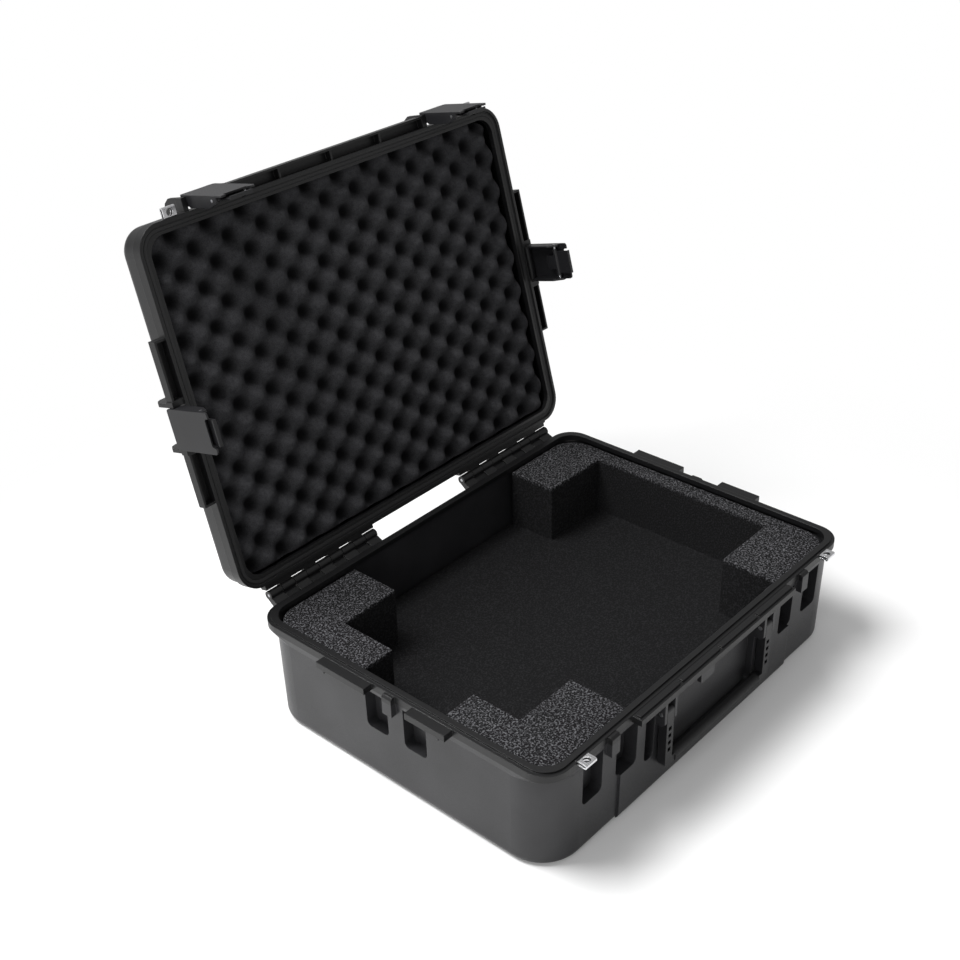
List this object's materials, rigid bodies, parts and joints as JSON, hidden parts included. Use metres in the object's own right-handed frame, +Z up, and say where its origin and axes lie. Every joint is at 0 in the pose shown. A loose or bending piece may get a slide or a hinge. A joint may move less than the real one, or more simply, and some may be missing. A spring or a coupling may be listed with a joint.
{
  "type": "guitar pedal case",
  "caption": "Moulded carrying case for guitar effects, hinged lid open, foam cradle inside, trigger latches, folding handle and steel padlock eyes.",
  "frame": {"origin": "centre of the base's flat underside, where the case stands", "axes": "+X along the hinge to the right seen from the front, -Y the front with the handle, +Z up; lid at rest open by 105 degrees"},
  "size_m": [0.72, 0.7218, 0.707],
  "materials": {
    "shell": "black moulded polypropylene, fine texture",
    "latch": "black moulded nylon, satin",
    "handle": "black moulded nylon, satin",
    "grip": "black soft overmould",
    "gasket": "black rubber cord",
    "padlock_plate": "bright stainless steel",
    "steel_pin": "plain steel wire and rod",
    "cradle_foam": "charcoal closed-cell foam, speckled",
    "lid_foam": "charcoal open-cell convoluted foam"
  },
  "bodies": {
    "base": {"base_shell": "shell", "hinge_pin_left": "steel_pin", "hinge_pin_right": "steel_pin", "handle_pin_left": "steel_pin", "handle_pin_right": "steel_pin", "padlock_plate_base_left": "padlock_plate", "padlock_plate_base_right": "padlock_plate", "foam_floor": "cradle_foam", "foam_front_left": "cradle_foam", "foam_left_front_rail": "cradle_foam", "foam_left_back_rail": "cradle_foam", "foam_back_left": "cradle_foam", "foam_back_right": "cradle_foam", "foam_right_rail": "cradle_foam", "foam_front_right": "cradle_foam"},
    "lid": {"lid_shell": "shell", "lid_gasket": "gasket", "lid_foam": "lid_foam", "padlock_plate_lid_left": "padlock_plate", "padlock_plate_lid_right": "padlock_plate", "latch_front_left_hinge_pin": "steel_pin", "latch_front_right_hinge_pin": "steel_pin", "latch_side_left_hinge_pin": "steel_pin", "latch_side_right_hinge_pin": "steel_pin"},
    "handle": {"handle_frame": "handle", "handle_grip": "grip"},
    "latch_front_left": {"latch_front_left_body": "latch", "latch_front_left_trigger_pin": "steel_pin"},
    "trigger_front_left": {"latch_front_left_trigger": "latch", "latch_front_left_trigger_spring": "steel_pin"},
    "latch_front_right": {"latch_front_right_body": "latch", "latch_front_right_trigger_pin": "steel_pin"},
    "trigger_front_right": {"latch_front_right_trigger": "latch", "latch_front_right_trigger_spring": "steel_pin"},
    "latch_side_left": {"latch_side_left_body": "latch", "latch_side_left_trigger_pin": "steel_pin"},
    "trigger_side_left": {"latch_side_left_trigger": "latch", "latch_side_left_trigger_spring": "steel_pin"},
    "latch_side_right": {"latch_side_right_body": "latch", "latch_side_right_trigger_pin": "steel_pin"},
    "trigger_side_right": {"latch_side_right_trigger": "latch", "latch_side_right_trigger_spring": "steel_pin"}
  },
  "joints": [
    {"name": "lid_hinge", "type": "hinge", "parent": "base", "child": "lid", "pos_m": [0, 0.272, 0.1646], "axis": [-1, 0, 0], "range_deg": [-105, 0]},
    {"name": "handle_fold", "type": "hinge", "parent": "base", "child": "handle", "pos_m": [0, -0.26325, 0.132], "axis": [-1, 0, 0], "range_deg": [0, 100]},
    {"name": "latch_front_left_swing", "type": "hinge", "parent": "lid", "child": "latch_front_left", "pos_m": [-0.221, 0.41536, 0.68265], "axis": [-1, 0, 0], "range_deg": [-3.5, 108.5]},
    {"name": "latch_front_left_trigger_press", "type": "hinge", "parent": "latch_front_left", "child": "trigger_front_left", "pos_m": [-0.221, 0.35899, 0.69646], "axis": [1, 0, 0], "range_deg": [0, 9.5], "stiffness_Nm_per_rad": 0.3, "springref_deg": -20.05},
    {"name": "latch_front_right_swing", "type": "hinge", "parent": "lid", "child": "latch_front_right", "pos_m": [0.221, 0.41536, 0.68265], "axis": [-1, 0, 0], "range_deg": [-3.5, 108.5]},
    {"name": "latch_front_right_trigger_press", "type": "hinge", "parent": "latch_front_right", "child": "trigger_front_right", "pos_m": [0.221, 0.35899, 0.69646], "axis": [1, 0, 0], "range_deg": [0, 9.5], "stiffness_Nm_per_rad": 0.3, "springref_deg": -20.05},
    {"name": "latch_side_left_swing", "type": "hinge", "parent": "lid", "child": "latch_side_left", "pos_m": [-0.351, 0.34613, 0.42426], "axis": [0, -0.2588, -0.9659], "range_deg": [-7, 105]},
    {"name": "latch_side_left_trigger_press", "type": "hinge", "parent": "latch_side_left", "child": "trigger_side_left", "pos_m": [-0.3533, 0.29011, 0.43927], "axis": [0, 0.2588, 0.9659], "range_deg": [0, 9.5], "stiffness_Nm_per_rad": 0.3, "springref_deg": -20.05},
    {"name": "latch_side_right_swing", "type": "hinge", "parent": "lid", "child": "latch_side_right", "pos_m": [0.351, 0.34613, 0.42426], "axis": [0, 0.2588, 0.9659], "range_deg": [-7, 105]},
    {"name": "latch_side_right_trigger_press", "type": "hinge", "parent": "latch_side_right", "child": "trigger_side_right", "pos_m": [0.3533, 0.29011, 0.43927], "axis": [0, -0.2588, -0.9659], "range_deg": [0, 9.5], "stiffness_Nm_per_rad": 0.3, "springref_deg": -20.05}
  ]
}
